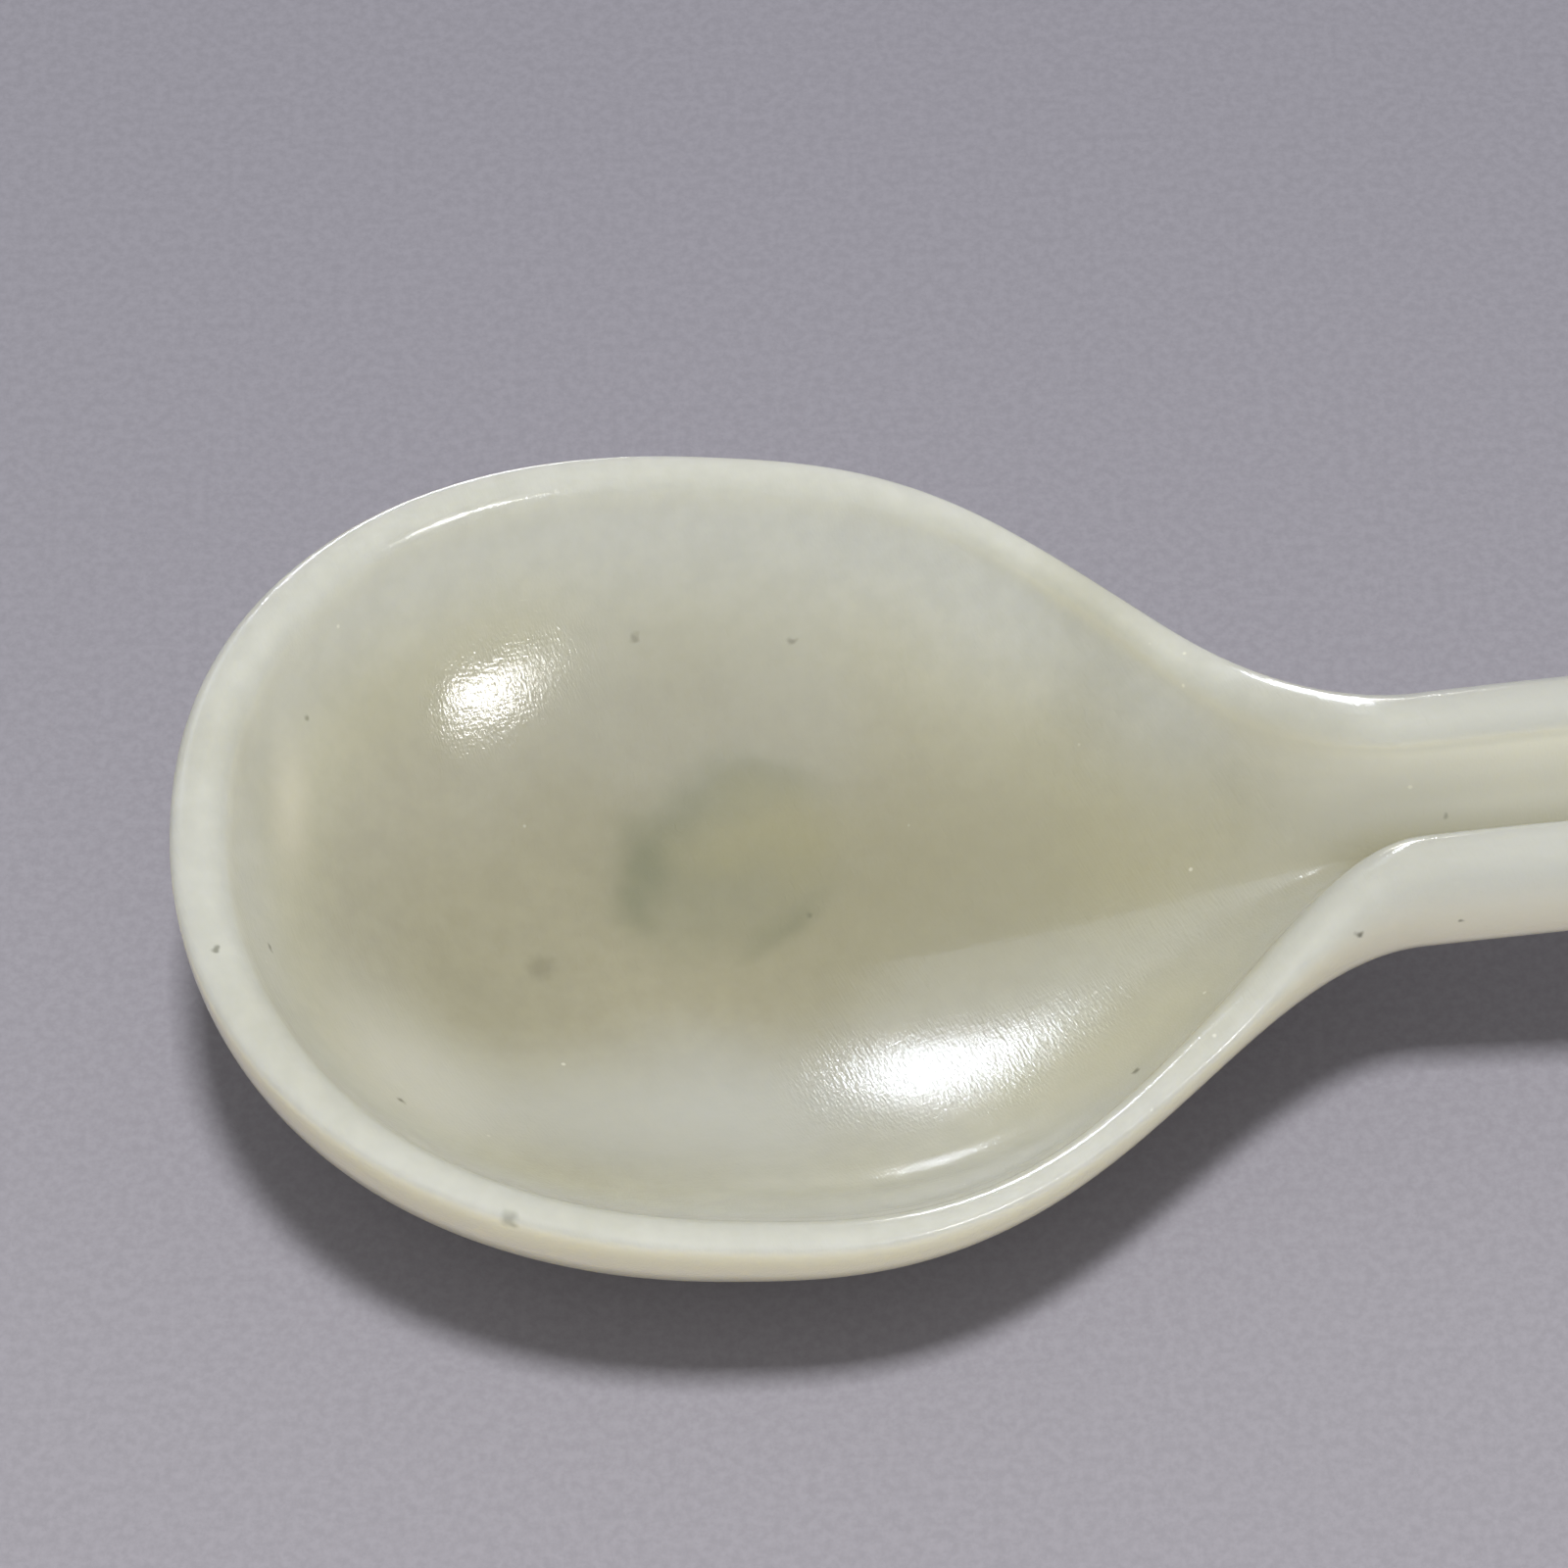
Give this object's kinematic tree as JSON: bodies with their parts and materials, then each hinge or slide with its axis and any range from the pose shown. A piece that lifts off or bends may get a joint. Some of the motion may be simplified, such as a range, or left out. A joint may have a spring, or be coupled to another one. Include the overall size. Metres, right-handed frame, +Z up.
{
  "type": "jade spoon",
  "caption": "Carved stone spoon with a deep egg-shaped bowl, a softly rounded lip, and an arched handle with a channel along its top.",
  "frame": {"origin": "middle of the ground foot under the bowl, on the table's surface", "axes": "+X along the handle away from the bowl's tip, +Y across the bowl, +Z up out of the bowl"},
  "size_m": [0.16, 0.0516, 0.0213],
  "materials": {
    "jade": "polished"
  },
  "bodies": {
    "root": {"spoon": "jade"}
  },
  "joints": []
}
